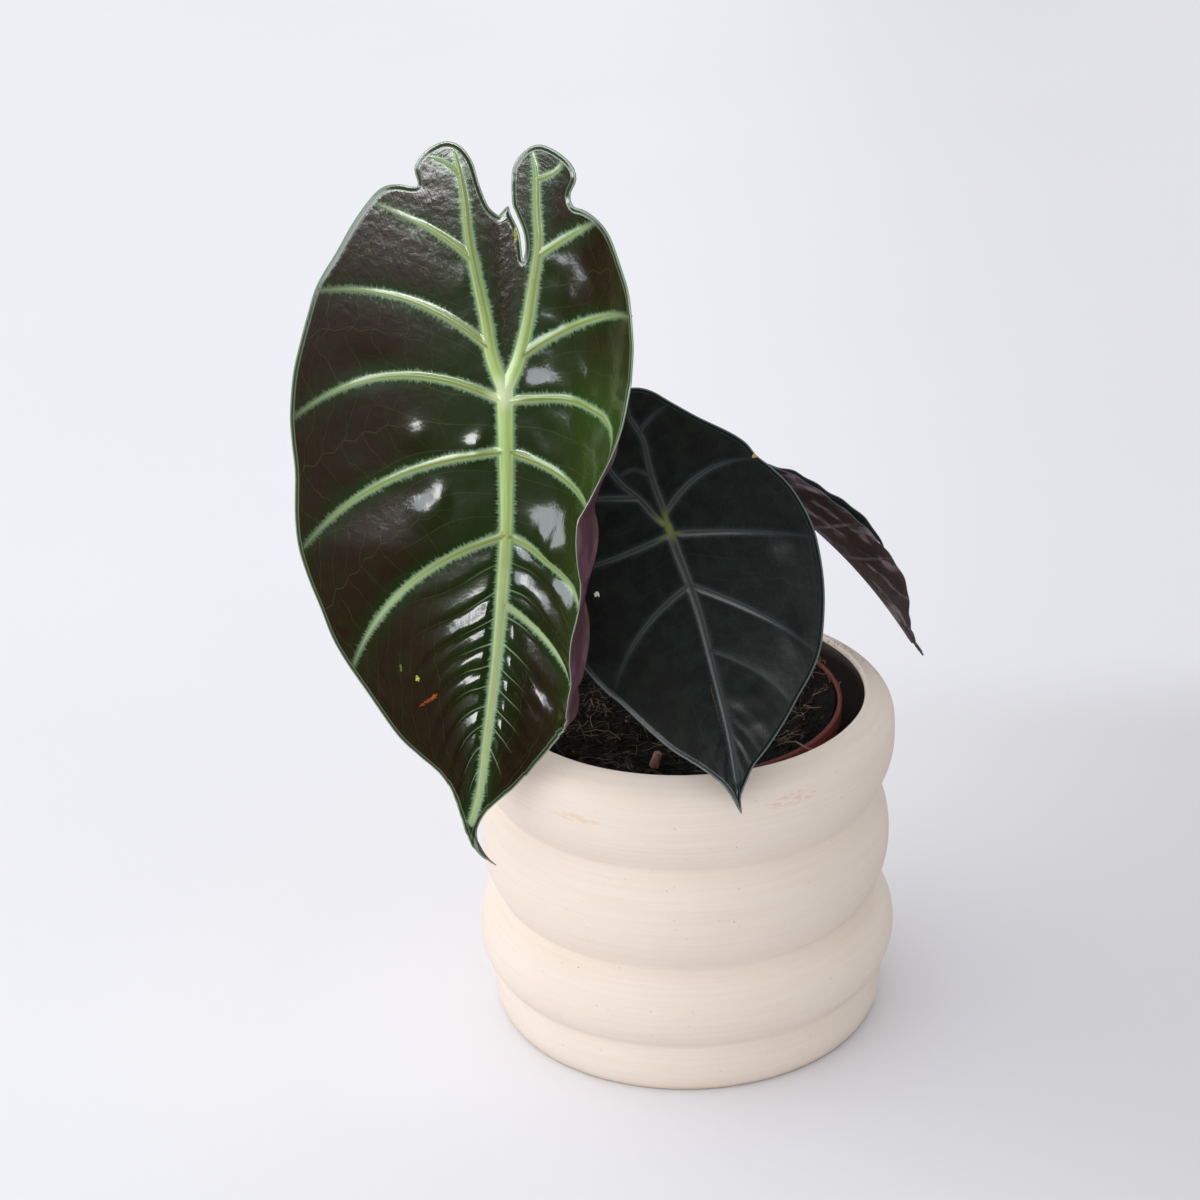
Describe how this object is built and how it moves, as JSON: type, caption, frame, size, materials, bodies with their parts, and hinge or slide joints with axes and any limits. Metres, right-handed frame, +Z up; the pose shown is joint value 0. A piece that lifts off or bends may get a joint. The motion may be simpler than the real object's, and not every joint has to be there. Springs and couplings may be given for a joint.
{
  "type": "potted jewel alocasia",
  "caption": "Potted alocasia with quilted shield-shaped leaves and pale raised veins, in a grower's pot inside a ribbed stoneware pot.",
  "frame": {"origin": "middle of the stoneware pot's foot, on the surface it stands on", "axes": "+Z up, along the pot's axis; -Y towards the side that the big leaf shows its face to"},
  "size_m": [0.2125, 0.1806, 0.3406],
  "materials": {
    "stoneware": "matte cream stoneware with fine pits",
    "terracotta_plastic": "satin red-brown plastic",
    "soil": "damp dark peat with root fibres",
    "dry_stalk": "dry pinkish-brown stalk",
    "stalk": "smooth mottled stalk",
    "bright_blade": "glossy brown-green leaf with a bright halo along its veins",
    "lime_vein": "glossy lime vein",
    "dark_blade": "satin near-black green leaf",
    "grey_vein": "silver-grey vein"
  },
  "bodies": {
    "root": {"pot": "stoneware", "growers_pot": "terracotta_plastic", "soil": "soil", "cut_stub": "dry_stalk", "front_leaf_stalk": "stalk", "front_leaf_blade": "bright_blade", "front_leaf_veins": "lime_vein", "middle_leaf_stalk": "stalk", "middle_leaf_blade": "dark_blade", "middle_leaf_veins": "grey_vein", "back_leaf_stalk": "stalk", "back_leaf_blade": "dark_blade", "back_leaf_veins": "grey_vein"}
  },
  "joints": []
}
